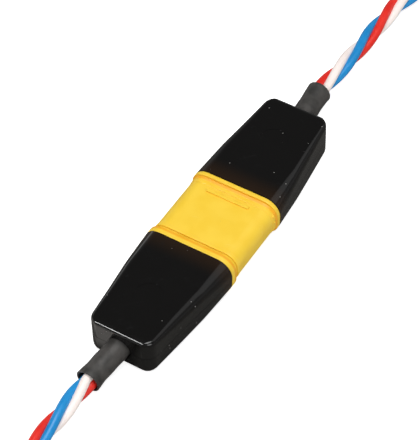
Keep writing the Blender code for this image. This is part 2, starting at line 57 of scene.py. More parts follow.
# %% Camera
aim = Vector((1.178 * MM, 1.232 * MM, mid_height * MM))
distance, turned, raised, lean = 0.27447, radians(-57.149), radians(49.129), radians(-1.731)
back = Vector((sin(turned) * cos(raised), -cos(turned) * cos(raised), sin(raised)))
level = Vector((cos(turned), sin(turned), 0.0))
over = back.cross(level)
right = level * cos(lean) + over * sin(lean)
upward = back.cross(right)
lens = bpy.data.cameras.new("camera")
lens.lens = 173.32
lens.sensor_width = 36.0
lens.clip_start, lens.clip_end = 0.01, 20.0
camera = bpy.data.objects.new("camera", lens)
bpy.context.scene.collection.objects.link(camera)
turn = Matrix((right, upward, back)).transposed()
camera.matrix_world = Matrix.Translation(aim + back * distance) @ turn.to_4x4()
bpy.context.scene.camera = camera
print("camera at", [round(c / MM, 1) for c in camera.location], "mm")

# %% [markdown]
# A lead is three insulated wires twisted round each other. Its middle line leaves the cover through
# the sleeve, comes down to the surface, and folds back once into a hank that a cable tie holds.
# The wires are curves, because a curve with a round bevel is the natural way to draw a wire: it
# keeps its thickness at each bend. Each wire runs round the middle line on a helix. The knots are
# those of the CAD model. A lead's middle is at the height "rest" where it lies on the surface and at
# "tied" in its cable tie, and each of its two runs is "run" away from the connector's middle there.

# %% Knots of the two leads: distance from the cover, side and height, in millimetres
rest, tied, run = 1.27, 1.90, 1.6
shroud_route = [
    (0.0, 0.04, 2.9), (3.2, 0.31, 2.9), (6.2, 0.5, 2.88), (9.2, 0.38, 2.82), (12.2, 0.2, 2.73),
    (16.2, 0.06, 2.57), (20.2, 0.0, 2.38), (24.2, -0.02, 2.17), (28.0, -0.15, 1.98),
    (31.4, -0.95, tied), (34.7, -run, tied), (37.7, -run, tied), (40.7, -run, tied),
    (45.2, -2.4, 1.35), (49.7, -3.8, rest), (54.2, -4.9, rest), (58.5, -4.2, rest),
    (61.3, -2.4, rest), (62.3, 0.0, rest), (61.3, 2.4, rest), (58.5, 4.2, rest),
    (54.2, 4.9, rest), (49.7, 3.8, rest), (45.2, 2.4, 1.35), (40.7, run, tied),
    (37.7, run, tied), (34.7, run, tied),
]
nose_route = [
    (0.0, 0.06, 2.9), (3.2, 0.3, 2.9), (6.2, 0.5, 2.86), (10.7, 0.68, 2.62), (15.7, 0.95, 2.27),
    (20.7, 1.3, 1.98), (25.7, run, tied), (28.7, run, tied), (31.7, run, tied),
    (36.7, 2.4, 1.35), (42.2, 3.8, rest), (47.2, 4.9, rest), (51.5, 4.2, rest),
    (54.3, 2.4, rest), (55.3, 0.0, rest), (54.3, -2.4, rest), (51.5, -4.2, rest),
    (47.2, -4.9, rest), (42.2, -3.8, rest), (36.7, -2.4, 1.35), (31.7, -run, tied),
    (28.7, -run, tied), (24.7, -run, tied),
]
wire_start, insulator_end, sleeve_start, cover_end = 10.75 * MM, 12.4 * MM, 19.4 * MM, 22.3 * MM
poles = {"blue": 3.5, "white": 0.0, "red": -3.5}
halves = {
    "shroud": {"side": 1, "body": "shrouded_half", "route": shroud_route, "sleeve_end": 6.1 * MM,
               "sleeve_radius": 1.62, "outlet": 1.75, "tie": 60.0,
               "twist_from": 1.0 * MM, "pitch": 19.6 * MM,
               "angles": {"blue": 30.0, "red": 150.0, "white": 270.0}},
    "nose": {"side": -1, "body": "plug_half", "route": nose_route, "sleeve_end": 6.2 * MM,
             "sleeve_radius": 1.57, "outlet": 1.65, "tie": -51.0,
             "twist_from": 6.3 * MM, "pitch": 16.8 * MM,
             "angles": {"white": 90.0, "red": 210.0, "blue": 330.0}},
}
print("knots in each lead:", [len(facts["route"]) for facts in halves.values()])


# %% The middle line of a lead, smooth through its knots
def middle_line(side, route):
    """Points close together on a centripetal curve through a lead's knots, and their distances."""
    steps = 24
    knots = [Vector((side * x, 0.0, middle.z)) for x in (wire_start, insulator_end + MM, sleeve_start)]
    knots += [Vector((side * (cover_end + out * MM), y * MM, z * MM)) for out, y, z in route]
    knots = [2 * knots[0] - knots[1]] + knots + [2 * knots[-1] - knots[-2]]
    line = []
    for p0, p1, p2, p3 in zip(knots, knots[1:], knots[2:], knots[3:]):
        t0, t1 = 0.0, sqrt((p1 - p0).length)
        t2 = t1 + sqrt((p2 - p1).length)
        t3 = t2 + sqrt((p3 - p2).length)
        for step in range(steps):
            t = t1 + (t2 - t1) * step / steps
            a1 = p0 * ((t1 - t) / (t1 - t0)) + p1 * ((t - t0) / (t1 - t0))
            a2 = p1 * ((t2 - t) / (t2 - t1)) + p2 * ((t - t1) / (t2 - t1))
            a3 = p2 * ((t3 - t) / (t3 - t2)) + p3 * ((t - t2) / (t3 - t2))
            b1 = a1 * ((t2 - t) / (t2 - t0)) + a2 * ((t - t0) / (t2 - t0))
            b2 = a2 * ((t3 - t) / (t3 - t1)) + a3 * ((t - t1) / (t3 - t1))
            line.append(b1 * ((t2 - t) / (t2 - t1)) + b2 * ((t - t1) / (t2 - t1)))
    line.append(knots[-2])
    distances = [0.0]
    for before, after in zip(line, line[1:]):
        distances.append(distances[-1] + (after - before).length)
    return line, distances


def place_on(line, distances, wanted):
    """The point and the direction at a distance along a line."""
    index = 0
    while index < len(line) - 2 and distances[index + 1] < wanted:
        index += 1
    direction = (line[index + 1] - line[index]).normalized()
    return line[index] + direction * (wanted - distances[index]), direction


def distance_to(line, distances, x):
    """The distance at which a line first passes x."""
    return next(far for far, point in zip(distances, line) if abs(point.x) >= abs(x))


# %% The path of each wire, on a helix round the middle line
helix_radius, wire_radius, wire_step = 0.635 * MM, 0.62 * MM, 0.45 * MM


def smooth_share(value):
    """A share from 0 to 1 that starts and ends gently."""
    share = min(max(value, 0.0), 1.0)
    return share * share * (3 - 2 * share)


def wire_path(half, colour):
    """Points along one wire, from its solder cup to its stripped end."""
    facts = halves[half]
    side = facts["side"]
    line, distances = facts["line"]
    fan_start = distance_to(line, distances, insulator_end + 0.05 * MM)
    fan_end = distance_to(line, distances, sleeve_start - 0.3 * MM)
    twist_start = distance_to(line, distances, cover_end + facts["twist_from"])
    count = round(distances[-1] / wire_step)
    path = []
    for index in range(count + 1):
        reached = distances[-1] * index / count
        centre, direction = place_on(line, distances, reached)
        across = (Vector((0, 0, 1)).cross(direction) * side).normalized()
        above = direction.cross(across) * side
        turns = max(reached - twist_start, 0.0) / facts["pitch"]
        angle = radians(facts["angles"][colour]) - side * 2 * pi * turns
        share = smooth_share((reached - fan_start) / (fan_end - fan_start))
        to_side = poles[colour] * MM * (1 - share) + helix_radius * cos(angle) * share
        to_top = helix_radius * sin(angle) * share
        path.append(centre + across * to_side + above * to_top)
    return path


# %% Tools that draw a wire
def select_only(piece):
    """Selects one piece and makes it active, with everything else deselected."""
    bpy.ops.object.select_all(action="DESELECT")
    piece.select_set(True)
    bpy.context.view_layer.objects.active = piece


def draw_strands(name, paths, radius, roundness):
    """Round strands along paths, drawn as one curve and then turned into one closed mesh."""
    curve = bpy.data.curves.new(name, "CURVE")
    curve.dimensions = "3D"
    curve.bevel_depth = radius
    curve.bevel_resolution = roundness
    curve.use_fill_caps = True
    for path in paths:
        spline = curve.splines.new("POLY")
        spline.points.add(len(path) - 1)
        spline.use_smooth = True
        for point, location in zip(spline.points, path):
            point.co = (*location, 1.0)
    piece = bpy.data.objects.new(name, curve)
    bpy.context.scene.collection.objects.link(piece)
    select_only(piece)
    bpy.ops.object.convert(target="MESH")
    bpy.ops.object.mode_set(mode="EDIT")
    bpy.ops.mesh.select_all(action="SELECT")
    bpy.ops.mesh.remove_doubles(threshold=1e-6)
    bpy.ops.mesh.normals_make_consistent(inside=False)
    bpy.ops.object.mode_set(mode="OBJECT")
    bpy.ops.object.shade_smooth_by_angle(angle=radians(50))
    piece.data.name = name
    return piece


# %% The six insulated wires
wires = {}
for half, facts in halves.items():
    facts["line"] = middle_line(facts["side"], facts["route"])
    for colour in poles:
        path = wire_path(half, colour)
        long = sum((b - a).length for a, b in zip(path, path[1:]))
        wire = draw_strands(f"{half}_lead_{colour}", [path], wire_radius, 6)
        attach(wire, facts["body"])
        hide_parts(f"{half}_wire_{colour}")
        wires[half, colour] = wire, path
        print(wire.name, "is", round(long / MM, 1), "mm long")

# %% [markdown]
# Each wire ends stripped over 4 mm. Its bare copper is seven fine strands, six of them twisted round
# one, dipped in tin so that they hold together. They are seven thin curves, turned into one mesh, so
# that one end is one piece.

# %% Bare ends of the wires
strand_radius, strands_long, strand_pitch = 0.14 * MM, 4.0 * MM, 5.0 * MM
strand_steps = 16
for (half, colour), (wire, path) in wires.items():
    line, distances = halves[half]["line"]
    direction = place_on(line, distances, distances[-1])[1]
    across = direction.cross(Vector((0, 0, 1))).normalized()
    above = across.cross(direction)
    base = path[-1] + direction * 0.05 * MM
    strands = [[base + direction * strands_long * step / strand_steps
                for step in range(strand_steps + 1)]]
    for strand in range(6):
        points = []
        for step in range(strand_steps + 1):
            along = strands_long * step / strand_steps
            angle = strand * pi / 3 + 2 * pi * along / strand_pitch
            out = across * cos(angle) + above * sin(angle)
            points.append(base + direction * along + out * 2 * strand_radius)
        strands.append(points)
    tip = draw_strands(f"{half}_bare_{colour}", strands, strand_radius, 2)
    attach(tip, halves[half]["body"])
    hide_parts(f"{half}_tip_{colour}")
print("bare ends:", len(wires))

# %% [markdown]
# The moulded pieces are lofts: rounded rectangles across the connector, one behind the other, with
# skin between them. A shipwright builds a hull over frames in this way. Each frame is a plane whose
# corners are bevelled, so that its corner can be tighter at one end of a piece than at the other.
# All frames have the same count of points, and neighbours are joined with bridge_edge_loops.


# %% Tools of the loft
def start_piece(name):
    """An empty mesh piece, open in edit mode."""
    bpy.ops.object.select_all(action="DESELECT")
    bpy.ops.object.add(type="MESH")
    piece = bpy.context.object
    piece.name = piece.data.name = name
    bpy.ops.object.mode_set(mode="EDIT")
    return piece


def ring_numbers(shape):
    """The layer that says which ring each vertex is in. A vertex that is in none yet has 0."""
    return shape.verts.layers.int.get("ring") or shape.verts.layers.int.new("ring")


def pick(piece, wanted, kind="verts"):
    """Selects only the vertices or faces of the piece in edit mode for which wanted is true."""
    bpy.ops.mesh.select_mode(type={"verts": "VERT", "faces": "FACE"}[kind])
    bpy.ops.mesh.select_all(action="DESELECT")
    shape = bmesh.from_edit_mesh(piece.data)
    numbers = ring_numbers(shape)
    for element in getattr(shape, kind):
        element.select_set(bool(wanted(element, numbers)))
    shape.select_flush_mode()
    bmesh.update_edit_mesh(piece.data)


def number_ring(piece):
    """Gives the vertices that were added last the next ring number, and returns it."""
    shape = bmesh.from_edit_mesh(piece.data)
    numbers = ring_numbers(shape)
    number = 1 + max(v[numbers] for v in shape.verts)
    for vertex in shape.verts:
        vertex[numbers] = vertex[numbers] or number
    bmesh.update_edit_mesh(piece.data)
    return number


def add_frame(piece, x, half_width, half_height, corner, far_corner=None, z=mid_height):
    """A rounded rectangle across the connector at x. At -Y its corners can have another radius."""
    bpy.ops.mesh.select_all(action="DESELECT")
    centre = (x, 0, z)
    bpy.ops.mesh.primitive_plane_add(size=2, location=centre, rotation=(0, pi / 2, 0))
    bpy.ops.transform.resize(value=(1, half_width, half_height), center_override=centre)
    for sign, radius in ((1, corner), (-1, far_corner or corner)):
        reach = half_width + half_height - 1e-4
        pick(piece, lambda v, numbers: v[numbers] == 0 and v.co.y * sign > 0
             and abs(v.co.y) + abs(v.co.z - z) > reach)
        bpy.ops.mesh.bevel(offset=radius, segments=8, affect="VERTICES", clamp_overlap=False)
    return number_ring(piece)


def add_circle(piece, centre, radius, direction=(1, 0, 0), count=32):
    """A circle round a point, square to a direction."""
    bpy.ops.mesh.select_all(action="DESELECT")
    turn = Vector((0, 0, 1)).rotation_difference(Vector(direction)).to_euler()
    bpy.ops.mesh.primitive_circle_add(
        vertices=count, radius=radius, fill_type="NGON", location=centre, rotation=turn)
    return number_ring(piece)


def skin_over(piece, rings, open_ends=()):
    """Joins each ring to the next, takes out the faces inside, and leaves edit mode."""
    inner = [ring for ring in rings if not (ring == rings[0] and "first" not in open_ends)
             and not (ring == rings[-1] and "last" not in open_ends)]
    pick(piece, lambda f, numbers: f.verts[0][numbers] in inner, "faces")
    if inner:
        bpy.ops.mesh.delete(type="ONLY_FACE")
    for near, far in zip(rings, rings[1:]):
        pick(piece, lambda v, numbers: v[numbers] in (near, far))
        bpy.ops.mesh.bridge_edge_loops(type="SINGLE")
    bpy.ops.mesh.select_all(action="SELECT")
    bpy.ops.mesh.normals_make_consistent(inside=False)
    bpy.ops.object.mode_set(mode="OBJECT")
    piece.data.attributes.remove(piece.data.attributes["ring"])


# %% Tools that cut, ease and finish a piece
def apply_modifier(piece, kind, **settings):
    """Adds one modifier with its settings and applies it."""
    select_only(piece)
    step = piece.modifiers.new(kind.lower(), kind)
    for setting, value in settings.items():
        setattr(step, setting, value)
    bpy.ops.object.modifier_apply(modifier=step.name)


def cut(piece, cutter, operation="DIFFERENCE"):
    """Cuts a piece with another, or joins them, and removes the other."""
    apply_modifier(piece, "BOOLEAN", object=cutter, operation=operation, solver="EXACT")
    bpy.data.objects.remove(cutter)


def ease_edges(piece, width, angle=60, segments=3):
    """Rounds the edges that are sharper than an angle."""
    apply_modifier(piece, "BEVEL", width=width, segments=segments, limit_method="ANGLE",
                   angle_limit=radians(angle), use_clamp_overlap=True, miter_outer="MITER_ARC")


def finish_piece(piece, body, stands_for):
    """Brings a piece to metres, smooths it, puts it on its body, and hides the CAD node it stands for.
    """
    select_only(piece)
    piece.scale = (MM, MM, MM)
    bpy.ops.object.transform_apply(location=False, rotation=False, scale=True)
    bpy.ops.object.shade_smooth_by_angle(angle=radians(35))
    apply_modifier(piece, "WEIGHTED_NORMAL", keep_sharp=True)
    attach(piece, body)
    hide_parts(stands_for)
    print(piece.name, "has", len(piece.data.polygons), "faces")


def take_made(name):
    """The piece that was added last, named, with its place and size brought into its mesh."""
    made = bpy.context.object
    made.name = made.data.name = name
    bpy.ops.object.transform_apply(location=True, rotation=True, scale=True)
    return made


def copy_of(piece, name):
    """A copy of a piece with a mesh of its own."""
    twin = piece.copy()
    twin.data = piece.data.copy()
    twin.name = twin.data.name = name
    bpy.context.scene.collection.objects.link(twin)
    return twin


def turn_round(piece):
    """Turns a piece half round about the middle of the connector, for the other half."""
    select_only(piece)
    bpy.ops.object.mode_set(mode="EDIT")
    bpy.ops.mesh.select_all(action="SELECT")
    bpy.ops.transform.rotate(value=pi, orient_axis="Z", center_override=(0, 0, 0))
    bpy.ops.object.mode_set(mode="OBJECT")


# %% [markdown]
# Each cover is a clamshell: two shells that meet at a fine parting line half way up. It is widest at
# the flange, has a slight knee, and narrows to a rounded end where the lead comes out. The edges
# along it are soft at the flange and tight at the end. Each shell starts as a loft of the whole
# cover, which is bisected at the parting line, given a wall, and drilled for the sleeve.

# %% The whole cover
cover_half_height = mid_height
knee_x, knee_half_width, knee_edge = 11.8, 5.87, 1.4
end_x, end_half_width, plan_corner = 22.3, 4.55, 1.4


def whole_cover(edge_corner):
    """The outside of a cover, with its cable end rounded over edge_corner."""
    frames = [(x, width, cover_half_height, corner) for x, width, corner in (
        (6.02, 6.5, 2.25), (8.9, 6.19, 1.84), (11.2, 5.935, 1.49),
        (knee_x, 5.86, knee_edge), (12.4, 5.79, 1.365), (16.5, 5.27, 1.1))]
    for angle in (0, 18, 36, 52, 64, 74, 82, 90):
        x = end_x - plan_corner * (1 - sin(radians(angle)))
        share = (x - knee_x) / (end_x - knee_x)
        taper = knee_half_width + (end_half_width - knee_half_width) * share
        width = taper - plan_corner * (1 - cos(radians(angle)))
        past_edge = max(x - (end_x - edge_corner), 0.0)
        drop = edge_corner - sqrt(max(edge_corner ** 2 - past_edge ** 2, 0.0))
        corner = max(knee_edge + (edge_corner - knee_edge) * share - drop, 0.06)
        frames.append((x, width, cover_half_height - drop, corner))
    cover = start_piece("cover")
    skin_over(cover, [add_frame(cover, *f) for f in frames], open_ends=("first",))
    print("a whole cover has", len(cover.data.polygons), "faces")
    return cover


# %% Halves of the covers
def bore(name, low_x, high_x, y, radius):
    """A round cutter along the connector."""
    cutter = start_piece(name)
    rings = [add_circle(cutter, (x, y, mid_height), radius, count=48) for x in (low_x, high_x)]
    skin_over(cutter, rings)
    return cutter


def ejector_mark(z):
    """A shallow round cutter for the mark that an ejector pin leaves in a moulding."""
    bpy.ops.object.select_all(action="DESELECT")
    bpy.ops.mesh.primitive_cylinder_add(vertices=64, radius=1.9, depth=0.2, location=(15.3, 0, z))
    return take_made("ejector_mark")


half_gap, cover_wall, mark_from_middle = 0.02, 0.5, 2.97
for half, facts in halves.items():
    for part, sign, edge_corner in (("upper", 1, 0.58), ("lower", -1, 0.9)):
        cover = whole_cover(edge_corner)
        cover.name = cover.data.name = f"{half}_{part}_shell"
        parting = mid_height + sign * half_gap
        select_only(cover)
        bpy.ops.object.mode_set(mode="EDIT")
        bpy.ops.mesh.select_all(action="SELECT")
        bpy.ops.mesh.bisect(plane_co=(0, 0, parting), plane_no=(0, 0, sign), clear_inner=True)
        bpy.ops.object.mode_set(mode="OBJECT")
        apply_modifier(cover, "SOLIDIFY", thickness=cover_wall, offset=-1.0, use_even_offset=False)
        ease_edges(cover, 0.07, angle=70, segments=2)
        cut(cover, bore("outlet", 20.5, 23.5, 0, facts["outlet"]))
        cut(cover, ejector_mark(mid_height + sign * mark_from_middle))
        if facts["side"] < 0:
            turn_round(cover)
        finish_piece(cover, facts["body"], f"{half}_{part}_cover")

# %% [markdown]
# The housings are lofts too. The shrouded half is one skin that runs over the grooved tail, the
# flange with its foot and the shroud, round the rim, and back inside to the floor of the cavity. A
# round bore for each contact is cut through afterwards. Each frame is given as its place along the
# connector and its sizes: half its width, half its height, and the radius of its corners. A fourth
# size is the tighter radius at -Y, which keys the plug. The nose's flange has no foot, so the nose
# takes the list only as far as the flange's back.

# %% Frames of a housing from its tail to the foot of its flange
tail = (5.6, 2.0, 1.35)
groove = (5.25, 1.65, 1.0)
flange, foot, foot_end = (6.5, 2.85, 2.2), (6.38, 2.54, 2.02), (6.36, 2.45, 2.0)
behind_flange = [(7.8, tail), (7.2, tail), (7.18, groove), (6.62, groove), (6.6, tail),
                 (5.97, tail), (5.95, flange), (5.34, flange), (5.32, foot), (4.95, foot_end)]


def housing(name, frames):
    """A housing lofted over its frames, with eased edges."""
    piece = start_piece(name)
    skin_over(piece, [add_frame(piece, x, *sizes) for x, sizes in frames])
    ease_edges(piece, 0.1)
    return piece


print("frames from tail to foot:", len(behind_flange))

# %% Shrouded housing
shroud, lip = (6.3, 2.38, 1.95), (6.35, 2.43, 2.0)
cavity, mouth = (5.6, 1.68, 1.5, 0.6), (5.75, 1.83, 1.65, 0.75)
contact_bore = 1.25
shroud_housing = housing("shroud_shell", behind_flange + [
    (4.93, lip), (4.42, lip), (4.37, shroud), (-3.80, shroud), (-3.85, lip), (-4.35, lip),
    (-4.33, mouth), (-4.18, cavity), (4.4, cavity)])
for y in poles.values():
    cut(shroud_housing, bore("pin_bore", 3.9, 8.3, y, contact_bore))
print("the shrouded housing has", len(shroud_housing.data.polygons), "faces before its details")

# %% A raised bar lies across the top of the shroud, and two small gate nibs stand by the flange
bar_place, bar_size, nib_radius = (3.6, 0, 5.30), (0.45, 6.3, 0.30), 0.21
bpy.ops.object.select_all(action="DESELECT")
bpy.ops.mesh.primitive_cube_add(size=1, location=bar_place, scale=bar_size)
bar = take_made("bar")
ease_edges(bar, 0.05)
cut(shroud_housing, bar, "UNION")
for spot in ((4.80, -6.06, 4.26), (4.78, -6.28, 3.30)):
    bpy.ops.object.select_all(action="DESELECT")
    bpy.ops.mesh.primitive_uv_sphere_add(
        segments=16, ring_count=10, radius=nib_radius, location=spot)
    cut(shroud_housing, take_made("nib"), "UNION")
finish_piece(shroud_housing, "shrouded_half", "shroud_housing")

# %% Nose housing
seat, nose, nose_tip = (6.2, 2.28, 1.85), (5.5, 1.58, 1.4, 0.5), (5.3, 1.38, 1.2, 0.3)
nose_housing = housing("nose_shell", [(-x, sizes) for x, sizes in behind_flange[:-3]] + [
    (-4.95, flange), (-4.93, seat), (-4.37, seat), (-4.35, nose), (3.8, nose), (4.0, nose_tip)])
for y in poles.values():
    cut(nose_housing, bore("socket_bore", -8.3, 4.5, y, contact_bore))
finish_piece(nose_housing, "plug_half", "nose_housing")

# %% [markdown]
# A shrunk sleeve is a thin tube. Shrinking leaves it a little wavy along the wires, and its cut
# mouth stays slightly wider. It is a row of circles along the lead's middle line, with skin
# between them, and a wall from Solidify.

# %% Sleeves
sleeve_steps, sleeve_wall, mouth_flare, ripple = 16, 0.22, 0.08, 0.012
for half, facts in halves.items():
    line, distances = facts["line"]
    start = distance_to(line, distances, sleeve_start)
    end = distance_to(line, distances, cover_end + facts["sleeve_end"])
    sleeve = start_piece(f"{half}_shrunk_sleeve")
    rings = []
    for index in range(sleeve_steps + 1):
        share = index / sleeve_steps
        centre, direction = place_on(line, distances, start + (end - start) * share)
        in_mouth = max((share - 0.8) * 5, 0.0)
        swell = mouth_flare * in_mouth ** 1.4 + ripple * sin(share * 23 + facts["side"])
        rings.append(add_circle(sleeve, centre / MM, facts["sleeve_radius"] * (1 + swell), direction))
    skin_over(sleeve, rings, open_ends=("first", "last"))
    apply_modifier(sleeve, "SOLIDIFY", thickness=sleeve_wall, offset=-1.0)
    ease_edges(sleeve, 0.05, segments=2)
    finish_piece(sleeve, facts["body"], f"{half}_sleeve")

# %% [markdown]
# A cable tie holds each folded lead. Its strap is a flat band with fine teeth, wound once round the
# two runs of the lead, pulled through a boxed head and trimmed. The band is a loft between two
# frames with a wall. The teeth are a row of small ridges on the trimmed tail.

# %% Cable ties
tie_height, strap_outside, strap_corner = 1.90, (3.45, 1.85), 1.75
strap_width, strap_wall = 2.4, 0.5


def box_piece(name, low, high, edge):
    """A block between two corners, with eased edges."""
    bpy.ops.object.select_all(action="DESELECT")
    centre = [(a + b) / 2 for a, b in zip(low, high)]
    size = [b - a for a, b in zip(low, high)]
    bpy.ops.mesh.primitive_cube_add(size=1, location=centre, scale=size)
    made = take_made(name)
    if edge:
        ease_edges(made, edge, segments=2)
    return made


for half, facts in halves.items():
    x, top = facts["tie"], tie_height + strap_outside[1]
    tie = start_piece(f"{half}_strap")
    rings = [add_frame(tie, end, *strap_outside, strap_corner, z=tie_height)
             for end in (x - strap_width / 2, x + strap_width / 2)]
    skin_over(tie, rings, open_ends=("first", "last"))
    apply_modifier(tie, "SOLIDIFY", thickness=strap_wall, offset=-1.0, use_even_offset=True)
    ease_edges(tie, 0.06, segments=2)
    cut(tie, box_piece("head", (x - 1.6, -1.5, top - 0.45), (x + 1.6, 1.5, top + 1.0), 0.18), "UNION")
    cut(tie, box_piece("tail", (x - 1.15, 1.2, top + 0.27), (x + 1.15, 2.88, top + 0.67), 0.08), "UNION")
    cut(tie, box_piece("window", (x - 1.0, -1.6, top + 0.62), (x + 1.0, -1.1, top + 0.8), 0.0))
    for tooth in range(5):
        y = 1.68 + 0.24 * tooth
        low, high = (x - 0.8, y - 0.05, top + 0.62), (x + 0.8, y + 0.05, top + 0.74)
        cut(tie, box_piece("tooth", low, high, 0.03), "UNION")
    finish_piece(tie, facts["body"], f"{half}_lead_tie")

# %% [markdown]
# The contacts are turned parts: a bullet pin with crossed slots, and a slotted socket, each with a
# cup for the wire. Here a profile of circles is skinned, which gives the same shape as a lathe.


# %% Contacts
def turn_part(name, profile):
    """A turned part along the connector, from pairs of x and radius."""
    part = start_piece(name)
    rings = [add_circle(part, (x, 0.0, mid_height), radius) for x, radius in profile]
    skin_over(part, rings)
    return part


pin_profile = [(-2.8, 0.42), (-2.74, 0.56), (-2.6, 0.77), (-2.45, 0.92), (-2.3, 0.99), (-2.2, 1.0),
               (4.45, 1.0), (4.47, 1.2), (7.75, 1.2), (7.77, 1.1), (10.4, 1.1), (10.38, 0.8),
               (8.3, 0.8)]
pin = turn_part("pin", pin_profile)
for low, high in (((-3.3, -1.4, 2.79), (1.5, 1.4, 3.01)), ((-3.3, -0.11, 1.5), (1.5, 0.11, 4.3))):
    cut(pin, box_piece("slot", low, high, 0.0))
socket_profile = [(-3.4, 1.05), (3.45, 1.05), (3.6, 1.11), (3.58, 1.2), (-7.75, 1.2),
                  (-7.77, 1.1), (-10.4, 1.1), (-10.38, 0.8), (-8.3, 0.8)]
socket = turn_part("socket", socket_profile)
cut(socket, box_piece("slot", (-0.5, -0.125, 1.2), (4.1, 0.125, 4.6), 0.0))
for made, stem, body in ((pin, "shroud_pin", "shrouded_half"), (socket, "nose_socket", "plug_half")):
    ease_edges(made, 0.03, angle=50, segments=2)
    for colour, y in poles.items():
        contact = copy_of(made, f"{stem}_turned_{colour}")
        contact.location.y = y
        select_only(contact)
        bpy.ops.object.transform_apply(location=True, rotation=True, scale=True)
        finish_piece(contact, body, f"{stem}_{colour}")
    bpy.data.objects.remove(made)

# %% [markdown]
# Finishes come next. Three effects are used by more than one material, so each is a node group:
# the fine texture that a moulding takes from its steel mould, the faint scratches of handling, and
# specks of dust. A group puts out only masks and heights. All of them read Object coordinates, which
# are metres here, so their scales are the real sizes of the grain.


# %% Tools for nodes
def new_group(name, inputs, outputs):
    """An empty node group with named number inputs and outputs, and its input and output nodes."""
    group = bpy.data.node_groups.new(name, "ShaderNodeTree")
    for label, value in inputs:
        socket = group.interface.new_socket(label, in_out="INPUT", socket_type="NodeSocketFloat")
        socket.default_value = value
    for label in outputs:
        group.interface.new_socket(label, in_out="OUTPUT", socket_type="NodeSocketFloat")
    return group, group.nodes.new("NodeGroupInput"), group.nodes.new("NodeGroupOutput")


def add_node(tree, kind, **settings):
    """A node with its settings. A setting named as an input gives that input its value or link."""
    node = tree.nodes.new("ShaderNode" + kind)
    for setting, value in settings.items():
        label = setting.replace("_", " ")
        if label in node.inputs:
            feed(tree, node.inputs[label], value)
        else:
            setattr(node, setting, value)
    return node


def feed(tree, socket, value):
    """Links an output to a socket, or sets the socket to a plain value."""
    if isinstance(value, bpy.types.NodeSocket):
        tree.links.new(value, socket)
    else:
        socket.default_value = value


def maths(tree, operation, *values):
    """A Math node with its values, and its result."""
    node = add_node(tree, "Math", operation=operation)
    for socket, value in zip(node.inputs, values):
        feed(tree, socket, value)
    return node.outputs[0]


def ramp(tree, value, low, high, to_low=0.0, to_high=1.0, kind="SMOOTHSTEP"):
    """A value spread from low..high to to_low..to_high, smoothly or evenly."""
    node = add_node(tree, "MapRange", interpolation_type=kind, Value=value, From_Min=low,
                    From_Max=high, To_Min=to_low, To_Max=to_high)
    return node.outputs["Result"]


def mix_colours(tree, share, first, second):
    """A colour between two, by a share."""
    node = add_node(tree, "Mix", data_type="RGBA")
    for label, value in (("Factor_Float", share), ("A_Color", first), ("B_Color", second)):
        socket = next(s for s in node.inputs if s.identifier == label)
        feed(tree, socket, (*value, 1.0) if isinstance(value, tuple) else value)
    return next(s for s in node.outputs if s.identifier == "Result_Color")


def noise(tree, place, scale, detail=3.0):
    """A noise value at a place."""
    return add_node(tree, "TexNoise", Vector=place, Scale=scale, Detail=detail).outputs[0]


def on_piece(tree):
    """The place on the piece, in metres."""
    return add_node(tree, "TexCoord").outputs["Object"]


# %% Node group: moulded grain
grain, given, gives = new_group(
    "moulded_grain", [("Fine", 9000.0), ("Broad", 700.0)], ["Height", "Cloud"])
place = on_piece(grain)
fine = noise(grain, place, given.outputs["Fine"], 2.0)
broad = noise(grain, place, given.outputs["Broad"], 2.0)
grain_height = maths(grain, "MULTIPLY_ADD", broad, 0.5, maths(grain, "MULTIPLY", fine, 0.5))
grain.links.new(grain_height, gives.inputs["Height"])
grain.links.new(ramp(grain, broad, 0.3, 0.7), gives.inputs["Cloud"])
print(grain.name, "has", len(grain.nodes), "nodes")

# %% Node group: faint scratches, as the thin lines where a stretched noise crosses its middle
scratches, given, gives = new_group("faint_scratches", [("Turn", 0.6), ("Width", 0.012)], ["Lines"])
place = on_piece(scratches)
turned = add_node(scratches, "VectorRotate", rotation_type="Z_AXIS", Vector=place,
                  Angle=given.outputs["Turn"]).outputs[0]
stretched = add_node(scratches, "Mapping", Vector=turned, Scale=(60.0, 1500.0, 700.0)).outputs[0]
wander = noise(scratches, stretched, 1.0, 1.0)
off_middle = maths(scratches, "ABSOLUTE", maths(scratches, "SUBTRACT", wander, 0.5))
thin = ramp(scratches, off_middle, 0.0, given.outputs["Width"], 1.0, 0.0, "LINEAR")
here_and_there = ramp(scratches, noise(scratches, place, 420.0, 1.0), 0.55, 0.7)
scratches.links.new(maths(scratches, "MULTIPLY", thin, here_and_there), gives.inputs["Lines"])
print(scratches.name, "has", len(scratches.nodes), "nodes")

# %% Node group: dust specks, one in a few cells of a Voronoi texture
specks, given, gives = new_group(
    "dust_specks", [("Scale", 1500.0), ("Size", 0.12), ("Few", 0.92)], ["Specks"])
cells = add_node(specks, "TexVoronoi", Vector=on_piece(specks), Scale=given.outputs["Scale"])
near = ramp(specks, cells.outputs["Distance"], given.outputs["Size"], 0.0, 0.0, 2.0, "LINEAR")
lot = add_node(specks, "SeparateColor", Color=cells.outputs["Color"]).outputs[0]
chosen = maths(specks, "GREATER_THAN", lot, given.outputs["Few"])
specks.links.new(maths(specks, "MINIMUM", maths(specks, "MULTIPLY", near, chosen), 1.0),
                 gives.inputs["Specks"])
print(specks.name, "has", len(specks.nodes), "nodes")


# %% Tools for materials
def new_finish(name):
    """An empty material, its node tree and its shader."""
    finish = bpy.data.materials.new(name)
    finish.use_nodes = True
    tree = finish.node_tree
    return finish, tree, tree.nodes["Principled BSDF"]


def effect(tree, group, **values):
    """Places a node group in a material, with its own values."""
    node = tree.nodes.new("ShaderNodeGroup")
    node.node_tree = group
    for label, value in values.items():
        feed(tree, node.inputs[label], value)
    return node


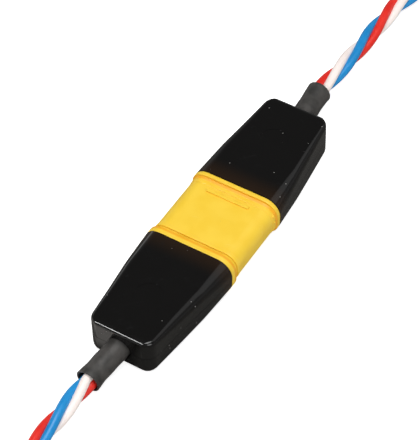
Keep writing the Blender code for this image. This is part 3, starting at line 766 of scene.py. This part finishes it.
def dusted(tree, colour, scale, size, few, pale):
    """A colour with pale specks of dust on it."""
    dust = effect(tree, specks, Scale=scale, Size=size, Few=few).outputs[0]
    return mix_colours(tree, dust, colour, pale)


def rise(tree, shader, height, distance, strength):
    """Bumps the surface by a height from 0 to 1, which stands for a distance in metres."""
    bump = add_node(tree, "Bump", Strength=strength, Distance=distance, Height=height)
    feed(tree, shader.inputs["Normal"], bump.outputs["Normal"])


def dress(finish, names):
    """Gives a material to pieces and CAD nodes by name."""
    for name in names:
        piece = bpy.data.objects.get(name) or nodes[name]
        piece.data.materials.clear()
        piece.data.materials.append(finish)
    print(finish.name, "is on", len(names), "pieces")


# %% [markdown]
# The covers are high-gloss black. A polished mould gives that gloss, but not a perfect mirror: the
# surface is a little wavy from shrinking, it holds dust, and handling leaves hairline scratches.
# Close to the flange a warm reflection of the yellow nylon is painted into the black.

# %% Gloss black of the covers
cover_black, tree, shader = new_finish("cover_black")
moulded = effect(tree, grain, Fine=2600.0, Broad=330.0)
lines = effect(tree, scratches, Turn=0.7, Width=0.01).outputs[0]
more_lines = effect(tree, scratches, Turn=-0.9, Width=0.007).outputs[0]
dust = effect(tree, specks, Scale=1350.0, Size=0.12, Few=0.86).outputs[0]
along = maths(tree, "ABSOLUTE", add_node(tree, "SeparateXYZ", Vector=on_piece(tree)).outputs["X"])
# Painted reflection: near the flange the black base colour is painted warm brown, for the yellow nylon.
flange_reflection_share = ramp(tree, along, 6.0 * MM, 9.2 * MM, 1.0, 0.0)
painted_flange_reflection = mix_colours(tree, flange_reflection_share, (0.0042, 0.004, 0.0038), (0.017, 0.009, 0.0045))
scuffed = mix_colours(tree, maths(tree, "MAXIMUM", lines, more_lines), painted_flange_reflection, (0.008, 0.008, 0.008))
feed(tree, shader.inputs["Base Color"], mix_colours(tree, dust, scuffed, (0.26, 0.25, 0.24)))
patchy = ramp(tree, moulded.outputs["Cloud"], 0.0, 1.0, 0.08, 0.12)
scratched = maths(tree, "MULTIPLY_ADD", lines, 0.07, patchy)
feed(tree, shader.inputs["Roughness"], maths(tree, "MULTIPLY_ADD", dust, 0.5, scratched))
rise(tree, shader, moulded.outputs["Height"], 0.006 * MM, 0.5)
dress(cover_black, [f"{half}_{part}_shell" for half in halves for part in ("upper", "lower")])

# %% [markdown]
# The housings are moulded in filled nylon: satin, very finely grained, and slightly uneven in colour
# where the melt cooled at different speeds. Scratches show a little paler. Shade is painted into its
# creases and onto the foot of its flange: there the colour is painted a deeper orange.

# %% Yellow nylon of the housings
yellow_nylon, tree, shader = new_finish("yellow_nylon")
moulded = effect(tree, grain, Fine=7000.0, Broad=520.0)
lines = effect(tree, scratches, Turn=1.3, Width=0.012).outputs[0]
# Painted shade: creases found by ambient occlusion are painted a deeper orange, most near the flange.
crease_occlusion = add_node(
    tree, "AmbientOcclusion", samples=8, only_local=True, Distance=0.9 * MM).outputs["AO"]
melt = mix_colours(tree, moulded.outputs["Cloud"], (0.885, 0.580, 0.036), (0.905, 0.610, 0.044))
along = maths(tree, "ABSOLUTE", add_node(tree, "SeparateXYZ", Vector=on_piece(tree)).outputs["X"])
painted_crease_shade = maths(tree, "MULTIPLY", ramp(tree, crease_occlusion, 0.55, 0.97, 1.0, 0.0),
                  ramp(tree, along, 3.95 * MM, 4.25 * MM, 0.4, 1.0))
# Painted shade: a band on the foot of the flange is painted a deeper orange.
painted_foot_shade = maths(tree, "MULTIPLY", ramp(tree, along, 4.88 * MM, 5.08 * MM),
                ramp(tree, along, 5.26 * MM, 5.42 * MM, 1.0, 0.0))
painted_shade = maths(tree, "MAXIMUM", painted_crease_shade, maths(tree, "MULTIPLY", painted_foot_shade, 0.85))
melt_with_painted_shade = mix_colours(tree, painted_shade, melt, (0.86, 0.37, 0.004))
marked = mix_colours(tree, maths(tree, "MULTIPLY", lines, 0.25), melt_with_painted_shade, (0.96, 0.72, 0.20))
feed(tree, shader.inputs["Base Color"], dusted(tree, marked, 1700.0, 0.09, 0.93, (0.55, 0.40, 0.12)))
feed(tree, shader.inputs["Roughness"], ramp(tree, moulded.outputs["Cloud"], 0.0, 1.0, 0.36, 0.46))
rise(tree, shader, moulded.outputs["Height"], 0.010 * MM, 0.45)
dress(yellow_nylon, ["shroud_shell", "nose_shell"])

# %% [markdown]
# Shrunk film is a soft polyolefin: dark grey, satin and a little uneven, with shallow wrinkles along
# it. The small insulators inside the covers are of the same film, in black.

# %% Shrunk film of the sleeves and of the insulators
for name, shade, pale, names in (
        ("sleeve_grey", (0.026, 0.025, 0.023), (0.060, 0.056, 0.052),
         [f"{half}_shrunk_sleeve" for half in halves]),
        ("insulator_black", (0.009, 0.009, 0.009), (0.016, 0.016, 0.015),
         [f"{half}_insulator_{colour}" for half in halves for colour in poles])):
    film, tree, shader = new_finish(name)
    moulded = effect(tree, grain, Fine=5200.0, Broad=600.0)
    drawn_out = add_node(tree, "Mapping", Vector=on_piece(tree), Scale=(260.0, 1400.0, 1400.0))
    wrinkle = noise(tree, drawn_out.outputs[0], 1.0)
    tone = mix_colours(tree, moulded.outputs["Cloud"], shade, pale)
    feed(tree, shader.inputs["Base Color"], dusted(tree, tone, 1500.0, 0.10, 0.93, (0.22, 0.21, 0.20)))
    feed(tree, shader.inputs["Roughness"], ramp(tree, wrinkle, 0.3, 0.7, 0.40, 0.56))
    uneven = maths(tree, "ADD", wrinkle, maths(tree, "MULTIPLY", moulded.outputs["Height"], 0.4))
    rise(tree, shader, uneven, 0.05 * MM, 0.5)
    dress(film, names)

# %% [markdown]
# The insulation of the wires is extruded, so it is smoother than a moulding: satin to glossy, with a
# slow change of tone along the wire.

# %% Insulation of the wires
skins = {"blue": ((0.005, 0.23, 0.56), (0.010, 0.275, 0.65)),
         "white": ((0.91, 0.80, 0.755), (0.96, 0.86, 0.82)),
         "red": ((0.72, 0.018, 0.010), (0.82, 0.028, 0.016))}
for colour, (deep, light) in skins.items():
    skin, tree, shader = new_finish(f"insulation_{colour}")
    moulded = effect(tree, grain, Fine=3600.0, Broad=260.0)
    tone = mix_colours(tree, moulded.outputs["Cloud"], deep, light)
    feed(tree, shader.inputs["Base Color"], dusted(tree, tone, 1600.0, 0.10, 0.94, (0.42, 0.38, 0.36)))
    feed(tree, shader.inputs["Roughness"], ramp(tree, moulded.outputs["Cloud"], 0.0, 1.0, 0.30, 0.42))
    rise(tree, shader, moulded.outputs["Height"], 0.012 * MM, 0.4)
    dress(skin, [f"{half}_lead_{colour}" for half in halves])

# %% [markdown]
# The metals: gold over nickel on the turned contacts, with the fine rings that the lathe left, and
# tin, duller and greyer, on the strands and in the solder cups. The ties are black nylon.

# %% Gold of the contacts
gold, tree, shader = new_finish("gold_over_nickel")
place = on_piece(tree)
drawn_out = add_node(tree, "Mapping", Vector=place, Scale=(16000.0, 300.0, 300.0))
rings = noise(tree, drawn_out.outputs[0], 1.0)
tarnish = noise(tree, place, 900.0)
feed(tree, shader.inputs["Base Color"], mix_colours(
    tree, ramp(tree, tarnish, 0.35, 0.75), (0.94, 0.69, 0.28), (0.80, 0.55, 0.22)))
shader.inputs["Metallic"].default_value = 1.0
feed(tree, shader.inputs["Roughness"], ramp(tree, rings, 0.3, 0.7, 0.16, 0.30))
rise(tree, shader, rings, 0.004 * MM, 0.4)
dress(gold, [f"{stem}_turned_{colour}" for stem in ("shroud_pin", "nose_socket")
             for colour in poles])

# %% Tin of the bare ends and of the solder
tin, tree, shader = new_finish("tinned_strands")
flow = noise(tree, on_piece(tree), 2400.0, 4.0)
feed(tree, shader.inputs["Base Color"], mix_colours(
    tree, ramp(tree, flow, 0.35, 0.7), (0.66, 0.655, 0.63), (0.50, 0.485, 0.46)))
shader.inputs["Metallic"].default_value = 1.0
feed(tree, shader.inputs["Roughness"], ramp(tree, flow, 0.3, 0.7, 0.26, 0.44))
rise(tree, shader, flow, 0.02 * MM, 0.5)
dress(tin, [f"{half}_{piece}_{colour}" for half in halves for piece in ("bare", "solder")
            for colour in poles])

# %% Black nylon of the ties
tie_black, tree, shader = new_finish("tie_black")
moulded = effect(tree, grain, Fine=5000.0, Broad=600.0)
tone = mix_colours(tree, moulded.outputs["Cloud"], (0.010, 0.010, 0.010), (0.017, 0.017, 0.016))
feed(tree, shader.inputs["Base Color"], dusted(tree, tone, 1500.0, 0.10, 0.93, (0.2, 0.2, 0.19)))
feed(tree, shader.inputs["Roughness"], ramp(tree, moulded.outputs["Cloud"], 0.0, 1.0, 0.34, 0.46))
rise(tree, shader, moulded.outputs["Height"], 0.015 * MM, 0.4)
dress(tie_black, [f"{half}_strap" for half in halves])

# %% [markdown]
# The object stands on a plain white table. The lens sees the table almost white, so it gets a weak
# light of its own that only the lens sees. In the gloss of the covers the table is darker: a
# reflection of a fully white table would turn the black grey. Only the table in front of the plug
# half's cable end stays light there, because it shows in the left of that cover's end face.

# %% Table
bpy.ops.object.select_all(action="DESELECT")
bpy.ops.mesh.primitive_plane_add(size=6.0, location=(0.0, 0.0, -0.02 * MM))
table = bpy.context.object
table.name = table.data.name = "table_top"
table_white, tree, shader = new_finish("table_white")
place = on_piece(tree)
rays = add_node(tree, "LightPath").outputs
paper = noise(tree, place, 800.0, 2.0)
apart = add_node(tree, "SeparateXYZ", Vector=place).outputs
front = maths(tree, "MULTIPLY", ramp(tree, apart["X"], -24.0 * MM, -22.5 * MM, 1.0, 0.0),
              ramp(tree, apart["Y"], 0.5 * MM, 3.0 * MM))
in_gloss = mix_colours(tree, front, (0.15, 0.145, 0.135), (0.80, 0.76, 0.72))
white = mix_colours(tree, rays["Is Glossy Ray"], (0.80, 0.80, 0.79), in_gloss)
feed(tree, shader.inputs["Base Color"], white)
feed(tree, shader.inputs["Roughness"], ramp(tree, paper, 0.3, 0.7, 0.75, 0.9))
shader.inputs["Specular IOR Level"].default_value = 0.0
shader.inputs["Emission Color"].default_value = (1.0, 1.0, 1.0, 1.0)
own_light = maths(tree, "MULTIPLY", rays["Is Camera Ray"], 0.80)
feed(tree, shader.inputs["Emission Strength"], own_light)
table.data.materials.append(table_white)
print(table.name, "is", round(table.dimensions.x, 1), "m wide")

# %% [markdown]
# Soft studio light: one large panel almost overhead, a weaker fill from the right, and strips that
# draw the soft bands on the covers' right edges, the thin line along their left edges and the bright
# line over the plug half's cable end. Left and right are as the lens sees them. The world is dim,
# darkest overhead, because it is what the glossy tops reflect. The lens itself sees it white.

# %% World and lights
bpy.context.scene.view_settings.view_transform = "Standard"
bpy.context.scene.view_settings.look = "None"
world = bpy.data.worlds.new("studio")
bpy.context.scene.world = world
world.use_nodes = True
tree = world.node_tree
backdrop = tree.nodes["Background"]
backdrop.inputs["Color"].default_value = (1.0, 1.0, 1.0, 1.0)
heading = add_node(tree, "TexCoord").outputs["Generated"]
upright = add_node(tree, "SeparateXYZ", Vector=heading).outputs["Z"]
glow = ramp(tree, upright, 0.0, 0.70, 0.30, 0.09)
seen = add_node(tree, "LightPath").outputs["Is Camera Ray"]
feed(tree, backdrop.inputs["Strength"], maths(tree, "MAXIMUM", glow, seen))


def panel(name, direction, away, width, height, power):
    """A soft light panel in a direction from the object, facing it. Metres and watts."""
    lamp = bpy.data.lights.new(name, "AREA")
    lamp.shape = "RECTANGLE"
    lamp.size, lamp.size_y = width, height
    lamp.energy = power
    light = bpy.data.objects.new(name, lamp)
    bpy.context.scene.collection.objects.link(light)
    heading = Vector(direction).normalized()
    light.location = heading * away
    light.rotation_euler = heading.to_track_quat("Z", "Y").to_euler()
    print(name, power, "W")


panel("overhead", (0.0, -0.05, 1.0), 0.9, 0.6, 0.6, 6.2)
panel("right_fill", (-0.45, -0.8, 0.4), 0.9, 0.5, 0.5, 2.2)
panel("right_strip", (0.5, -0.47, 0.70), 0.8, 0.20, 0.40, 0.13)
panel("right_glow", (0.5, -0.47, 0.70), 0.8, 0.40, 0.60, 0.35)
panel("left_strip", (0.37, 0.92, 0.12), 0.8, 0.32, 0.20, 0.13)
panel("end_strip", (-0.6, 0.35, 0.70), 0.8, 0.05, 0.35, 1.6)
